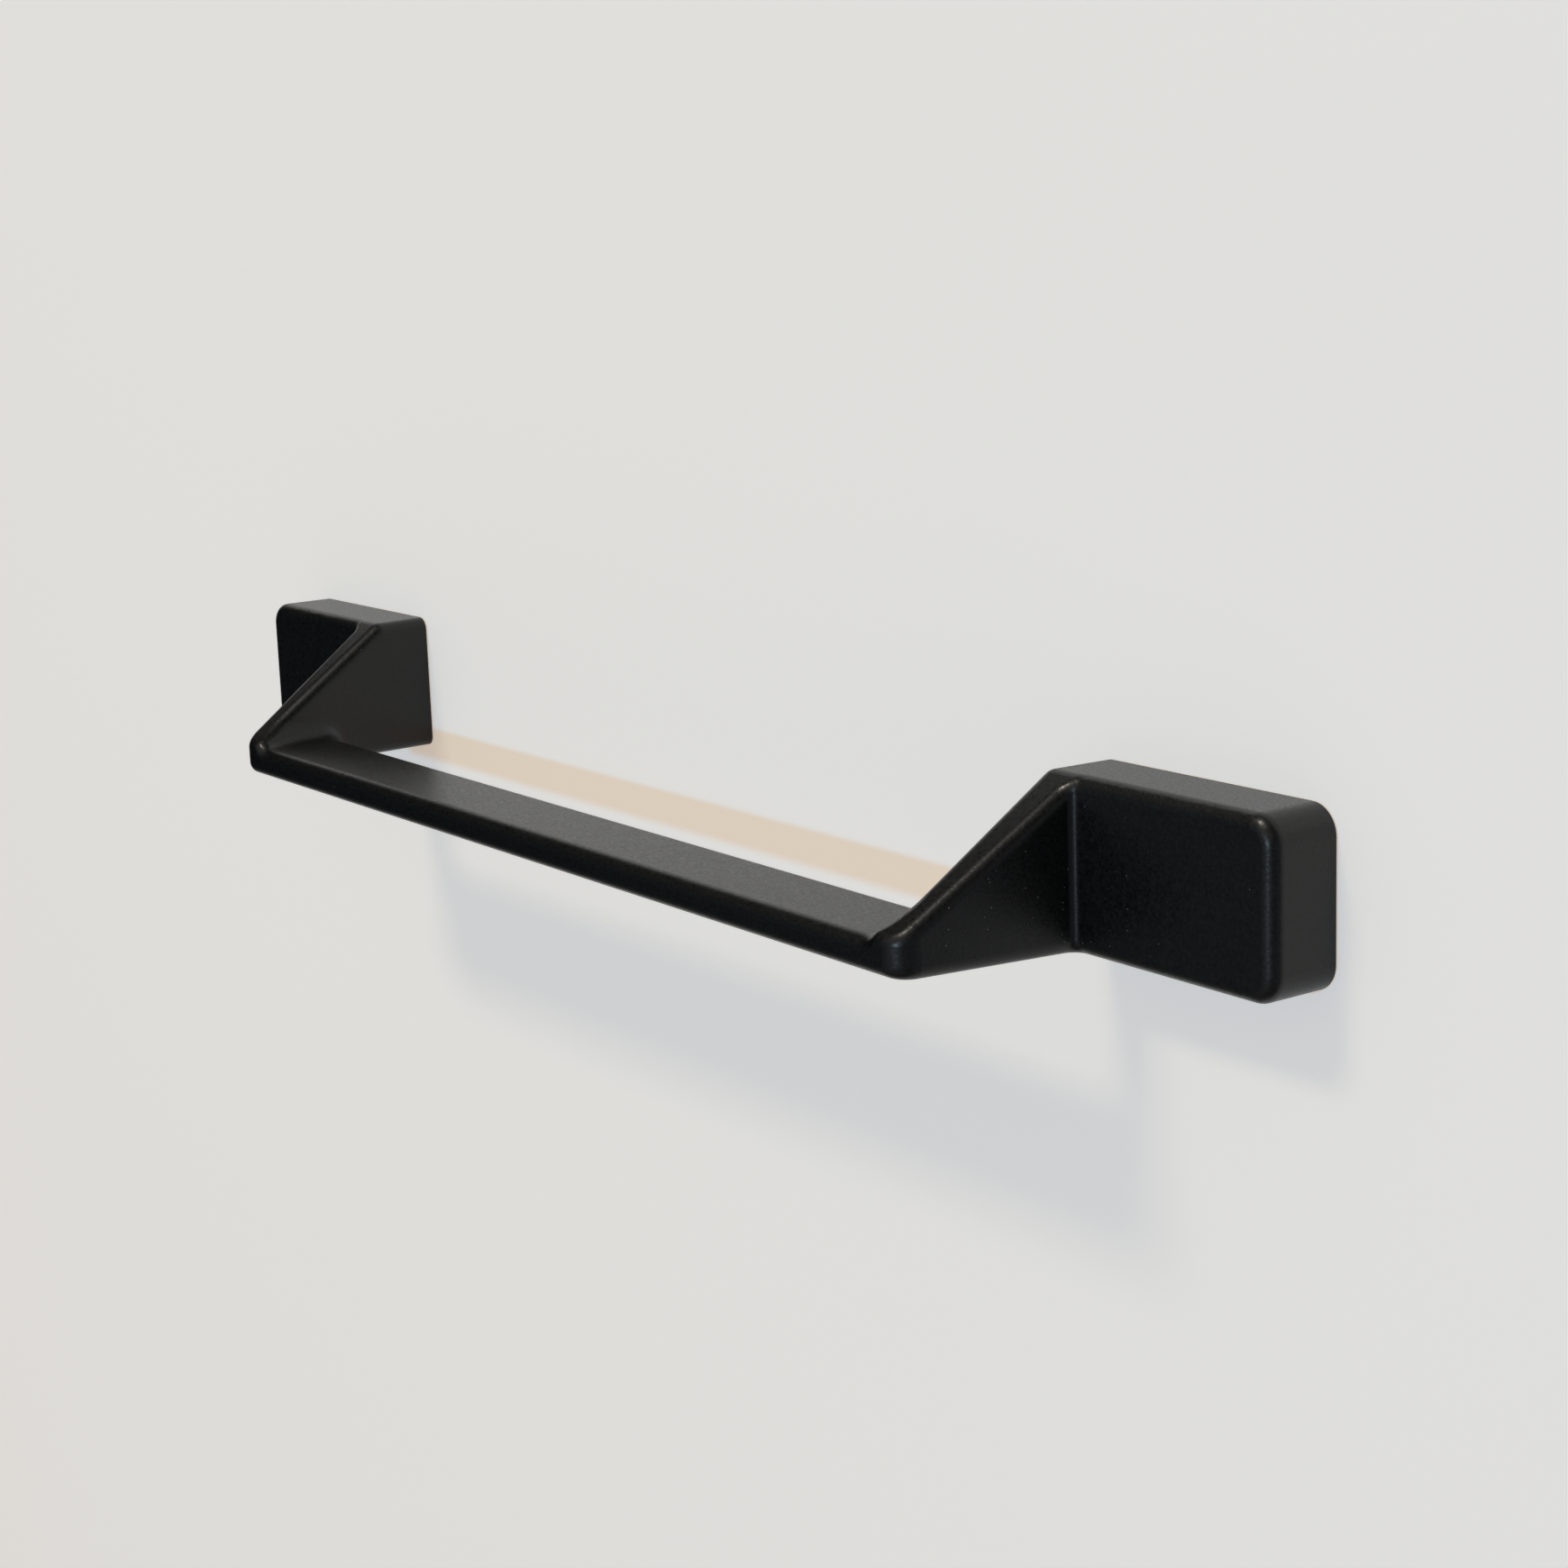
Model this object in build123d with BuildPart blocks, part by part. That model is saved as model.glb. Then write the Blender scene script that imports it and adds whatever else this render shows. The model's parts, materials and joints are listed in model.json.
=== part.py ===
"""Cast pull handle: a flat bar carried by two sloping arms on two rectangular feet.

Frame: X along the bar, Y into the surface that the handle is fixed to, Z up.
The backs of the feet lie on Y = 0, and the origin is midway between the two screw holes.
Sizes are in millimetres and angles in degrees.
"""

import os
from math import radians, tan

from build123d import *

# Feet
hole_spacing = 192.0
hole_to_end = 18.0
foot_length = 35.75
foot_height = 20.0
foot_depth = 9.0

# Bar
projection = 30.85
bar_depth = 13.0
bar_height = 4.1

# Arms: their width at the feet, and how far their faces lean towards the middle
arm_width = 5.55
arm_outer_lean = 8.4
arm_inner_lean = 3.4

# Slope of the arms' tops: how far it starts behind the feet's fronts, and ends above the bar's top
crest_setback = 0.9
toe_step = 0.5

# Roundings
bend_radius = 3.3
root_radius = 0.9
web_radius = 3.0
end_radius = 3.3
top_radius = 1.8
edge_radius = 1.6
bar_rear_radius = 1.5
inner_radius = 1.5

# Tapped blind holes for the two fixing screws
tap_diameter = 3.3
tap_depth = 7.0

# Places that follow from the sizes
half_length = hole_spacing / 2 + hole_to_end
inner_wall_x = half_length - foot_length
root_x = inner_wall_x + arm_width
bar_rear_y = bar_depth - projection
top_z = foot_height / 2
bottom_z = -foot_height / 2
bar_top_z = bottom_z + bar_height
slope_start = foot_depth - crest_setback
slope_fall = (top_z - bar_top_z - toe_step) / (projection - slope_start)

# How far the cutting shapes reach past the metal, and how close counts as the same place
overrun = foot_height
clear_of_front_y = -projection - overrun
same = 0.01


def inner_x(y):
    """Distance of an arm's inner face from the middle of the handle, at depth y."""
    return inner_wall_x + y * tan(radians(arm_inner_lean))


def outer_x(y):
    """Distance of an arm's outer face from the middle of the handle, at depth y."""
    return root_x + (y + foot_depth) * tan(radians(arm_outer_lean))


def slope_z(y):
    """Height of the arms' sloping tops at depth y."""
    return top_z + (y + slope_start) * slope_fall


def near(value, target):
    return abs(value - target) < same


def at_root(vertex):
    """The inside corner where an arm leaves the front of its foot."""
    return near(vertex.Y, -foot_depth) and near(abs(vertex.X), root_x)


def at_bar_rear_top(edge):
    middle = edge.center()
    return near(middle.Y, bar_rear_y) and near(middle.Z, bar_top_z)


def joins_bar_to_arm(edge):
    middle = edge.center()
    on_inner_face = near(abs(middle.X), inner_x(middle.Y))
    beside_bar = middle.Y < bar_rear_y + same and bottom_z + same < middle.Z < bar_top_z + same
    return on_inner_face and beside_bar


def at_foot_end(edge):
    """The top and bottom edges of a foot's outer end face."""
    middle = edge.center()
    return near(abs(middle.X), half_length) and near(abs(middle.Z), top_z) and not near(middle.Y, 0)


def at_inner_top(edge):
    middle = edge.center()
    return near(middle.Z, top_z) and near(abs(middle.X), inner_x(middle.Y))


def faces_up_and_forward(face):
    normal = face.normal_at()
    return normal.Y < -same and normal.Z > same


def on_front_outline(edge):
    """The slopes' edges at the front of the bar, the outside of the arms and the feet's fronts."""
    middle = edge.center()
    outside = 2 * abs(middle.X) > inner_x(middle.Y) + outer_x(middle.Y)
    return near(middle.Y, -projection) or (outside and middle.Y < same - foot_depth)


def at_bar_rear_bottom(edge):
    middle = edge.center()
    return near(middle.Y, bar_rear_y) and near(middle.Z, bottom_z)


with BuildPart() as handle:
    # Plan of the casting, its right half first and then the mirror image
    with BuildSketch(Plane.XY.offset(bottom_z)) as plan:
        right_half = [
            (outer_x(-projection), -projection),
            (root_x, -foot_depth),
            (half_length, -foot_depth),
            (half_length, 0),
            (inner_wall_x, 0),
            (inner_x(bar_rear_y), bar_rear_y),
        ]
        left_half = [(-x, y) for x, y in reversed(right_half)]
        with BuildLine():
            Polyline(*right_half, *left_half, close=True)
        make_face()
        fillet(plan.vertices().filter_by(at_root), radius=root_radius)
        fillet(plan.vertices().group_by(Axis.Y)[0], radius=bend_radius)
    extrude(amount=foot_height)

    # Space over the bar, between the inner faces of the arms
    with BuildSketch(Plane.XY.offset(bar_top_z)):
        with BuildLine():
            Polyline(
                (inner_x(clear_of_front_y), clear_of_front_y),
                (inner_x(overrun), overrun),
                (-inner_x(overrun), overrun),
                (-inner_x(clear_of_front_y), clear_of_front_y),
                close=True,
            )
        make_face()
    extrude(amount=overrun, mode=Mode.SUBTRACT)

    # Rounded rear of the bar, webs where it meets the arms, and rounded ends of the feet
    fillet(handle.edges().filter_by(at_bar_rear_top), radius=bar_rear_radius)
    fillet(handle.edges().filter_by(joins_bar_to_arm), radius=web_radius)
    fillet(handle.edges().filter_by(at_foot_end), radius=end_radius)

    # One sloping plane takes the arms down from the feet's tops to the front of the bar
    with BuildSketch(Plane.YZ):
        with BuildLine():
            Polyline(
                (overrun, slope_z(overrun)),
                (clear_of_front_y, slope_z(clear_of_front_y)),
                (clear_of_front_y, slope_z(overrun)),
                close=True,
            )
        make_face()
    extrude(amount=half_length + overrun, both=True, mode=Mode.SUBTRACT)

    # Roundings along the back of the slopes, then the front outline, then the inside of the bottom
    slopes = handle.faces().filter_by(GeomType.PLANE).filter_by(faces_up_and_forward)
    slope_backs = slopes.edges().filter_by(on_front_outline, reverse=True)
    fillet(slope_backs + handle.edges().filter_by(at_inner_top), radius=top_radius)
    slopes = handle.faces().filter_by(GeomType.PLANE).filter_by(faces_up_and_forward)
    fillet(slopes.edges().filter_by(on_front_outline), radius=edge_radius)
    fillet(handle.edges().filter_by(at_bar_rear_bottom), radius=inner_radius)

    # Screw holes in the backs of the feet
    with Locations(Plane(origin=(0, 0, 0), x_dir=(1, 0, 0), z_dir=(0, 1, 0))):
        with GridLocations(hole_spacing, hole_spacing, 2, 1):
            Hole(tap_diameter / 2, depth=tap_depth)

handle.part.label = "pull_handle"

os.makedirs("parts", exist_ok=True)
export_step(handle.part, "parts/pull_handle.step")
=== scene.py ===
"""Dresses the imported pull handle: satin black paint, cut screw threads, a pale wall and soft light."""

import json
from math import pi, radians

import bmesh
import bpy
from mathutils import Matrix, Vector


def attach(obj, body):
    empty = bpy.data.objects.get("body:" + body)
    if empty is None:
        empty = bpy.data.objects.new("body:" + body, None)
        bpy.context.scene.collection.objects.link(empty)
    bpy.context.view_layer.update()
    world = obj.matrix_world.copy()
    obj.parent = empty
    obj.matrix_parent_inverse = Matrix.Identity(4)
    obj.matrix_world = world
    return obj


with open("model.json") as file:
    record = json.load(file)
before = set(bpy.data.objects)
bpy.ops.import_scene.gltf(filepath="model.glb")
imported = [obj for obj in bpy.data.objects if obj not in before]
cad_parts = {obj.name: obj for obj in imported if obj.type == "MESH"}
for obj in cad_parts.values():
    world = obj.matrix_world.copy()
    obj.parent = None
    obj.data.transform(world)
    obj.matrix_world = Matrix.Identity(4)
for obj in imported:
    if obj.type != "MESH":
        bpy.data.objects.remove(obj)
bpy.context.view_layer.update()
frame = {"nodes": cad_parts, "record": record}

MM = 0.001
scene = bpy.context.scene
scene.view_settings.view_transform = "Standard"
handle = frame["nodes"]["pull_handle"]


# Node helpers
def link(tree, source, target):
    tree.links.new(source, target)


def add(tree, kind, inputs=None, **properties):
    """A new node with its properties, and with input values given by the socket's name or number."""
    node = tree.nodes.new(kind)
    for name, value in properties.items():
        setattr(node, name, value)
    for socket, value in (inputs or {}).items():
        node.inputs[socket].default_value = value
    return node


def ramp(tree, source, start, end, low=0.0, high=1.0):
    """A value that goes straight from low to high while the source goes from start to end."""
    limits = {"From Min": start, "From Max": end, "To Min": low, "To Max": high}
    node = add(tree, "ShaderNodeMapRange", inputs=limits)
    link(tree, source, node.inputs["Value"])
    return node.outputs["Result"]


def combine(tree, operation, first, second):
    """One value worked out from two others."""
    node = add(tree, "ShaderNodeMath", operation=operation)
    link(tree, first, node.inputs[0])
    link(tree, second, node.inputs[1])
    return node.outputs["Value"]


def between_colours(tree, factor, first, second):
    """A colour that changes from the first to the second by the factor."""
    node = add(tree, "ShaderNodeMix", data_type="RGBA", inputs={"A": first, "B": second})
    link(tree, factor, node.inputs["Factor"])
    return node.outputs["Result"]


def empty_material(name):
    material = bpy.data.materials.new(name)
    material.use_nodes = True
    tree = material.node_tree
    tree.nodes.clear()
    output = add(tree, "ShaderNodeOutputMaterial")
    return material, tree, output


# Fine relief that the paint and the cut metal share, as a height, a fine grain and a slow change of tone
NOISE_LOW = 0.3
NOISE_HIGH = 0.7


def fine_relief_group():
    group = bpy.data.node_groups.new("fine_relief", "ShaderNodeTree")
    for name in ("Grains", "Waves", "Wave Share"):
        group.interface.new_socket(name, in_out="INPUT", socket_type="NodeSocketFloat")
    for name in ("Height", "Speckle", "Tone"):
        group.interface.new_socket(name, in_out="OUTPUT", socket_type="NodeSocketFloat")
    given = add(group, "NodeGroupInput")
    result = add(group, "NodeGroupOutput")
    place = add(group, "ShaderNodeTexCoord")
    grain = add(group, "ShaderNodeTexNoise", inputs={"Detail": 3.0, "Roughness": 0.55})
    wave = add(group, "ShaderNodeTexNoise", inputs={"Detail": 2.0, "Roughness": 0.5})
    height = add(group, "ShaderNodeMix", data_type="FLOAT")
    link(group, place.outputs["Object"], grain.inputs["Vector"])
    link(group, place.outputs["Object"], wave.inputs["Vector"])
    link(group, given.outputs["Grains"], grain.inputs["Scale"])
    link(group, given.outputs["Waves"], wave.inputs["Scale"])
    link(group, given.outputs["Wave Share"], height.inputs["Factor"])
    link(group, grain.outputs["Fac"], height.inputs["A"])
    link(group, wave.outputs["Fac"], height.inputs["B"])
    speckle = ramp(group, grain.outputs["Fac"], NOISE_LOW, NOISE_HIGH)
    tone = ramp(group, wave.outputs["Fac"], NOISE_LOW, NOISE_HIGH)
    link(group, height.outputs["Result"], result.inputs["Height"])
    link(group, speckle, result.inputs["Speckle"])
    link(group, tone, result.inputs["Tone"])
    return group


fine_relief = fine_relief_group()

# Satin black paint on the casting, with a few specks of dust on the right arm and foot
PAINT_RELIEF = {"Grains": 2600.0, "Waves": 420.0, "Wave Share": 0.35}
PAINT_BUMP = {"Strength": 0.6, "Distance": 0.05 * MM}
PAINT_DARK = (0.0014, 0.0014, 0.0013, 1.0)
PAINT_PALE = (0.0066, 0.0065, 0.0064, 1.0)
PAINT_SMOOTHEST = 0.26
PAINT_ROUGHEST = 0.40
PAINT_IOR = 1.41
DUST_COLOUR = (0.42, 0.41, 0.40, 1.0)
DUST_ROUGHNESS = 0.9
DUST_CELLS = 1400.0
SPECK_CORE = 0.05
SPECK_RIM = 0.09
DUSTY_SPOTS = [(0.0828, -0.0165, -0.001), (0.0900, -0.0090, -0.006)]
DUSTY_INSIDE = 2.0 * MM
DUSTY_OUTSIDE = 10.0 * MM
DUSTY_SHARE = 0.42
CLEAN_SHARE = 0.015


def dust_mask(tree, place):
    """One where a speck lies: small dots in cells that fill the space, most of them near two places."""
    cells = add(tree, "ShaderNodeTexVoronoi", inputs={"Scale": DUST_CELLS})
    picked = add(tree, "ShaderNodeSeparateColor")
    link(tree, place, cells.inputs["Vector"])
    link(tree, cells.outputs["Color"], picked.inputs["Color"])
    distances = []
    for spot in DUSTY_SPOTS:
        away = add(tree, "ShaderNodeVectorMath", operation="DISTANCE", inputs={1: spot})
        link(tree, place, away.inputs[0])
        distances.append(away.outputs["Value"])
    nearest = combine(tree, "MINIMUM", *distances)
    share = ramp(tree, nearest, DUSTY_INSIDE, DUSTY_OUTSIDE, DUSTY_SHARE, CLEAN_SHARE)
    few = combine(tree, "LESS_THAN", picked.outputs["Red"], share)
    dot = ramp(tree, cells.outputs["Distance"], SPECK_RIM, SPECK_CORE)
    return combine(tree, "MULTIPLY", few, dot)


def paint_material():
    material, tree, output = empty_material("satin_black_paint")
    place = add(tree, "ShaderNodeTexCoord")
    relief = add(tree, "ShaderNodeGroup", node_tree=fine_relief, inputs=PAINT_RELIEF)
    speckle = relief.outputs["Speckle"]
    dust = dust_mask(tree, place.outputs["Object"])
    black = between_colours(tree, speckle, PAINT_DARK, PAINT_PALE)
    satin = ramp(tree, speckle, start=0.0, end=1.0, low=PAINT_SMOOTHEST, high=PAINT_ROUGHEST)
    dusty = add(tree, "ShaderNodeMix", data_type="RGBA", inputs={"B": DUST_COLOUR})
    dull = add(tree, "ShaderNodeMix", data_type="FLOAT", inputs={"B": DUST_ROUGHNESS})
    bump = add(tree, "ShaderNodeBump", inputs=PAINT_BUMP)
    shader = add(tree, "ShaderNodeBsdfPrincipled", inputs={"Metallic": 0.0, "IOR": PAINT_IOR})
    link(tree, black, dusty.inputs["A"])
    link(tree, dust, dusty.inputs["Factor"])
    link(tree, satin, dull.inputs["A"])
    link(tree, dust, dull.inputs["Factor"])
    link(tree, relief.outputs["Height"], bump.inputs["Height"])
    link(tree, dusty.outputs["Result"], shader.inputs["Base Color"])
    link(tree, dull.outputs["Result"], shader.inputs["Roughness"])
    link(tree, bump.outputs["Normal"], shader.inputs["Normal"])
    link(tree, shader.outputs["BSDF"], output.inputs["Surface"])
    return material


handle.data.materials.clear()
handle.data.materials.append(paint_material())

# Bare cut metal of the screw threads
METAL_RELIEF = {"Grains": 5200.0, "Waves": 1500.0, "Wave Share": 0.5}
METAL_BUMP = {"Strength": 0.2, "Distance": 0.02 * MM}
METAL_DARK = (0.46, 0.46, 0.47, 1.0)
METAL_PALE = (0.60, 0.60, 0.61, 1.0)
METAL_SMOOTHEST = 0.28
METAL_ROUGHEST = 0.42


def thread_material():
    material, tree, output = empty_material("cut_metal")
    relief = add(tree, "ShaderNodeGroup", node_tree=fine_relief, inputs=METAL_RELIEF)
    tone = relief.outputs["Tone"]
    metal = between_colours(tree, tone, METAL_DARK, METAL_PALE)
    polish = ramp(tree, tone, start=0.0, end=1.0, low=METAL_SMOOTHEST, high=METAL_ROUGHEST)
    bump = add(tree, "ShaderNodeBump", inputs=METAL_BUMP)
    shader = add(tree, "ShaderNodeBsdfPrincipled", inputs={"Metallic": 1.0})
    link(tree, metal, shader.inputs["Base Color"])
    link(tree, polish, shader.inputs["Roughness"])
    link(tree, relief.outputs["Height"], bump.inputs["Height"])
    link(tree, bump.outputs["Normal"], shader.inputs["Normal"])
    link(tree, shader.outputs["BSDF"], output.inputs["Surface"])
    return material


# Right-hand threads in the backs of the feet, in the holes that the record gives
holes = next(mount["dims"] for mount in frame["record"]["mounts"] if mount["name"] == "screw_holes")
HOLE_X = holes["spacing_x_mm"] * MM / 2.0
HOLE_RADIUS = holes["hole_r_mm"] * MM
THREAD_PITCH = 0.7 * MM
THREAD_TURNS = 8
THREAD_START = 0.7 * MM
STEPS_PER_TURN = 24
RIDGE_SUNK = 0.03 * MM
RIDGE_HEIGHT = 0.17 * MM
RIDGE_FOOT_HALF = 0.28 * MM
RIDGE_TOP_HALF = 0.05 * MM


def thread(name, hole_x, material):
    """The ridge of a screw thread: one section swept along a helix into the foot."""
    shape = bmesh.new()
    wall = HOLE_RADIUS + RIDGE_SUNK
    crest = HOLE_RADIUS - RIDGE_HEIGHT
    section = [
        (wall, -RIDGE_FOOT_HALF),
        (crest, -RIDGE_TOP_HALF),
        (crest, RIDGE_TOP_HALF),
        (wall, RIDGE_FOOT_HALF),
    ]
    corners = [shape.verts.new((hole_x + reach, depth - THREAD_START, 0.0)) for reach, depth in section]
    edges = [shape.edges.new((corners[i], corners[i - 1])) for i in range(len(corners))]
    bmesh.ops.spin(
        shape,
        geom=edges,
        cent=(hole_x, 0.0, 0.0),
        axis=(0.0, -1.0, 0.0),
        dvec=(0.0, -THREAD_PITCH / STEPS_PER_TURN, 0.0),
        angle=2.0 * pi * THREAD_TURNS,
        steps=STEPS_PER_TURN * THREAD_TURNS,
    )
    open_edges = [edge for edge in shape.edges if edge.is_boundary]
    bmesh.ops.holes_fill(shape, edges=open_edges, sides=len(section))
    bmesh.ops.recalc_face_normals(shape, faces=shape.faces)
    mesh = bpy.data.meshes.new(name)
    shape.to_mesh(mesh)
    shape.free()
    mesh.materials.append(material)
    piece = bpy.data.objects.new(name, mesh)
    scene.collection.objects.link(piece)
    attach(piece, "root")


cut_metal = thread_material()
thread("right_thread", HOLE_X, cut_metal)
thread("left_thread", -HOLE_X, cut_metal)

# Pale panel that the feet sit on, the wall around it, both seen from the front only, and a pale floor
PANEL_GAP = 0.2 * MM
PANEL_LEFT = -0.3
PANEL_RIGHT = 0.138
PANEL_BOTTOM = -0.4
PANEL_TOP = 0.07
WALL_GAP = 0.4 * MM
ROOM_HALF = 3.0
FLOOR_DROP = 0.6
WALL_COLOUR = (0.8, 0.8, 0.8, 1.0)
WALL_GLOW = (0.47, 0.405, 0.338, 1.0)
FLOOR_GLOW = (0.60, 0.59, 0.58, 1.0)


def stage_plane(name, low, high, material):
    """A flat sheet between two corners that share one coordinate."""
    corners = [low, (high[0], low[1], low[2]), high, (low[0], high[1], high[2])]
    mesh = bpy.data.meshes.new(name)
    mesh.from_pydata(corners, [], [(0, 1, 2, 3)])
    mesh.materials.append(material)
    plane = bpy.data.objects.new(name, mesh)
    scene.collection.objects.link(plane)
    return plane


def wall_material():
    material, tree, output = empty_material("pale_wall")
    matt = add(tree, "ShaderNodeBsdfDiffuse", inputs={"Color": WALL_COLOUR})
    glow = add(tree, "ShaderNodeEmission", inputs={"Color": WALL_GLOW})
    front = add(tree, "ShaderNodeAddShader")
    clear = add(tree, "ShaderNodeBsdfTransparent")
    side = add(tree, "ShaderNodeNewGeometry")
    mix = add(tree, "ShaderNodeMixShader")
    link(tree, matt.outputs["BSDF"], front.inputs[0])
    link(tree, glow.outputs["Emission"], front.inputs[1])
    link(tree, side.outputs["Backfacing"], mix.inputs["Fac"])
    link(tree, front.outputs["Shader"], mix.inputs[1])
    link(tree, clear.outputs["BSDF"], mix.inputs[2])
    link(tree, mix.outputs["Shader"], output.inputs["Surface"])
    return material


def floor_material():
    material, tree, output = empty_material("pale_floor")
    even = add(tree, "ShaderNodeEmission", inputs={"Color": FLOOR_GLOW})
    link(tree, even.outputs["Emission"], output.inputs["Surface"])
    return material


pale_wall = wall_material()
panel = stage_plane(
    "panel",
    (PANEL_LEFT, PANEL_GAP, PANEL_BOTTOM),
    (PANEL_RIGHT, PANEL_GAP, PANEL_TOP),
    pale_wall,
)
wall = stage_plane(
    "wall",
    (-ROOM_HALF, WALL_GAP, -FLOOR_DROP),
    (ROOM_HALF, WALL_GAP, ROOM_HALF),
    pale_wall,
)
floor = stage_plane(
    "floor",
    (-ROOM_HALF, -ROOM_HALF, -FLOOR_DROP),
    (ROOM_HALF, ROOM_HALF, -FLOOR_DROP),
    floor_material(),
)
panel.visible_shadow = False
wall.visible_shadow = False
wall.visible_glossy = False
floor.visible_glossy = False
floor.visible_diffuse = False


# Soft studio lights that all face the handle: key and fill light matt faces, and glints show on glossy ones
def area_light(name, place, width, height, power, colour):
    data = bpy.data.lights.new(name, "AREA")
    data.shape = "ELLIPSE"
    data.size = width
    data.size_y = height
    data.energy = power
    data.color = colour
    light = bpy.data.objects.new(name, data)
    light.location = place
    light.rotation_euler = (-Vector(place)).to_track_quat("-Z", "Y").to_euler()
    scene.collection.objects.link(light)
    return light


KEY_PLACE = (-0.31, -1.9, 2.36)
key = area_light(
    "key",
    place=KEY_PLACE,
    width=1.0,
    height=0.4,
    power=19.4,
    colour=(1.0, 0.87, 0.60),
)
fill = area_light(
    "fill",
    place=(0.40, -2.1, 0.15),
    width=0.15,
    height=0.1,
    power=11.6,
    colour=(0.07, 0.55, 1.0),
)
warm_glint = area_light(
    "warm_glint",
    place=(-0.15, -0.765, 1.28),
    width=0.3,
    height=0.2,
    power=8.0,
    colour=(1.0, 0.92, 0.80),
)
cool_glint = area_light(
    "cool_glint",
    place=(0.36, -1.57, 0.03),
    width=0.4,
    height=0.4,
    power=4.9,
    colour=(0.68, 0.86, 1.0),
)
area_light(
    "back",
    place=(0.3, 1.6, 0.9),
    width=0.8,
    height=0.8,
    power=4.0,
    colour=(1.0, 1.0, 1.0),
)
for light in (key, fill):
    light.visible_glossy = False
for light in (warm_glint, cool_glint):
    light.visible_diffuse = False

# World: a pale background for the camera, soft light for matt faces, and a dim room for glossy ones to mirror
SEEN_COLOUR = (0.73, 0.72, 0.71, 1.0)
SOFT_COLOUR = (0.19, 0.16, 0.14, 1.0)
COOL_ROOM = (0.88, 0.97, 1.12, 1.0)
WARM_ROOM = (1.0, 0.97, 0.94, 1.0)
FRONT_STRENGTH = 0.33
KEY_GLOW_STRENGTH = 0.38
RIGHT_STRENGTH = 0.23
BEHIND_STRENGTH = 0.03
BELOW_STRENGTH = 0.14


def room_background(tree):
    """The mirrored room, whose colour and strength depend on the direction."""
    way = add(tree, "ShaderNodeTexCoord").outputs["Generated"]
    parts = add(tree, "ShaderNodeSeparateXYZ")
    link(tree, way, parts.inputs["Vector"])
    x, y, z = parts.outputs["X"], parts.outputs["Y"], parts.outputs["Z"]
    key_way = Vector(KEY_PLACE).normalized()
    towards_key = add(tree, "ShaderNodeVectorMath", operation="DOT_PRODUCT", inputs={1: key_way})
    link(tree, way, towards_key.inputs[0])
    front = ramp(tree, y, start=-0.5, end=-0.9, high=FRONT_STRENGTH)
    key_glow = ramp(tree, towards_key.outputs["Value"], start=0.64, end=0.86, high=KEY_GLOW_STRENGTH)
    right_side = ramp(tree, x, start=0.6, end=0.95, high=RIGHT_STRENGTH)
    behind = ramp(tree, y, start=0.0, end=0.05, high=BEHIND_STRENGTH)
    below = ramp(tree, z, start=-0.3, end=-0.7, high=BELOW_STRENGTH)
    strength = front
    for share in (key_glow, right_side, behind, below):
        strength = combine(tree, "ADD", strength, share)
    upward = ramp(tree, z, start=0.0, end=0.35)
    downward = ramp(tree, z, start=-0.3, end=-0.5)
    warmth = combine(tree, "MAXIMUM", upward, downward)
    room = add(tree, "ShaderNodeBackground")
    link(tree, between_colours(tree, warmth, COOL_ROOM, WARM_ROOM), room.inputs["Color"])
    link(tree, strength, room.inputs["Strength"])
    return room


def studio_world():
    world = bpy.data.worlds.new("studio")
    world.use_nodes = True
    world.cycles.sampling_method = "NONE"
    tree = world.node_tree
    tree.nodes.clear()
    output = add(tree, "ShaderNodeOutputWorld")
    seen = add(tree, "ShaderNodeBackground", inputs={"Color": SEEN_COLOUR})
    soft = add(tree, "ShaderNodeBackground", inputs={"Color": SOFT_COLOUR})
    room = room_background(tree)
    path = add(tree, "ShaderNodeLightPath")
    lit = add(tree, "ShaderNodeMixShader")
    mix = add(tree, "ShaderNodeMixShader")
    link(tree, path.outputs["Is Diffuse Ray"], lit.inputs["Fac"])
    link(tree, room.outputs["Background"], lit.inputs[1])
    link(tree, soft.outputs["Background"], lit.inputs[2])
    link(tree, path.outputs["Is Camera Ray"], mix.inputs["Fac"])
    link(tree, lit.outputs["Shader"], mix.inputs[1])
    link(tree, seen.outputs["Background"], mix.inputs[2])
    link(tree, mix.outputs["Shader"], output.inputs["Surface"])
    return world


scene.world = studio_world()

# Camera at the photo's viewpoint
CAMERA_PLACE = (0.316609, -0.210015, 0.073288)
CAMERA_TURN_DEGREES = (78.353, 2.015, 54.588)
CAMERA_LENS_MM = 66.517
SENSOR_WIDTH_MM = 36.0

camera_data = bpy.data.cameras.new("camera")
camera_data.sensor_width = SENSOR_WIDTH_MM
camera_data.lens = CAMERA_LENS_MM
camera = bpy.data.objects.new("camera", camera_data)
camera.location = CAMERA_PLACE
camera.rotation_euler = [radians(turn) for turn in CAMERA_TURN_DEGREES]
scene.collection.objects.link(camera)
scene.camera = camera
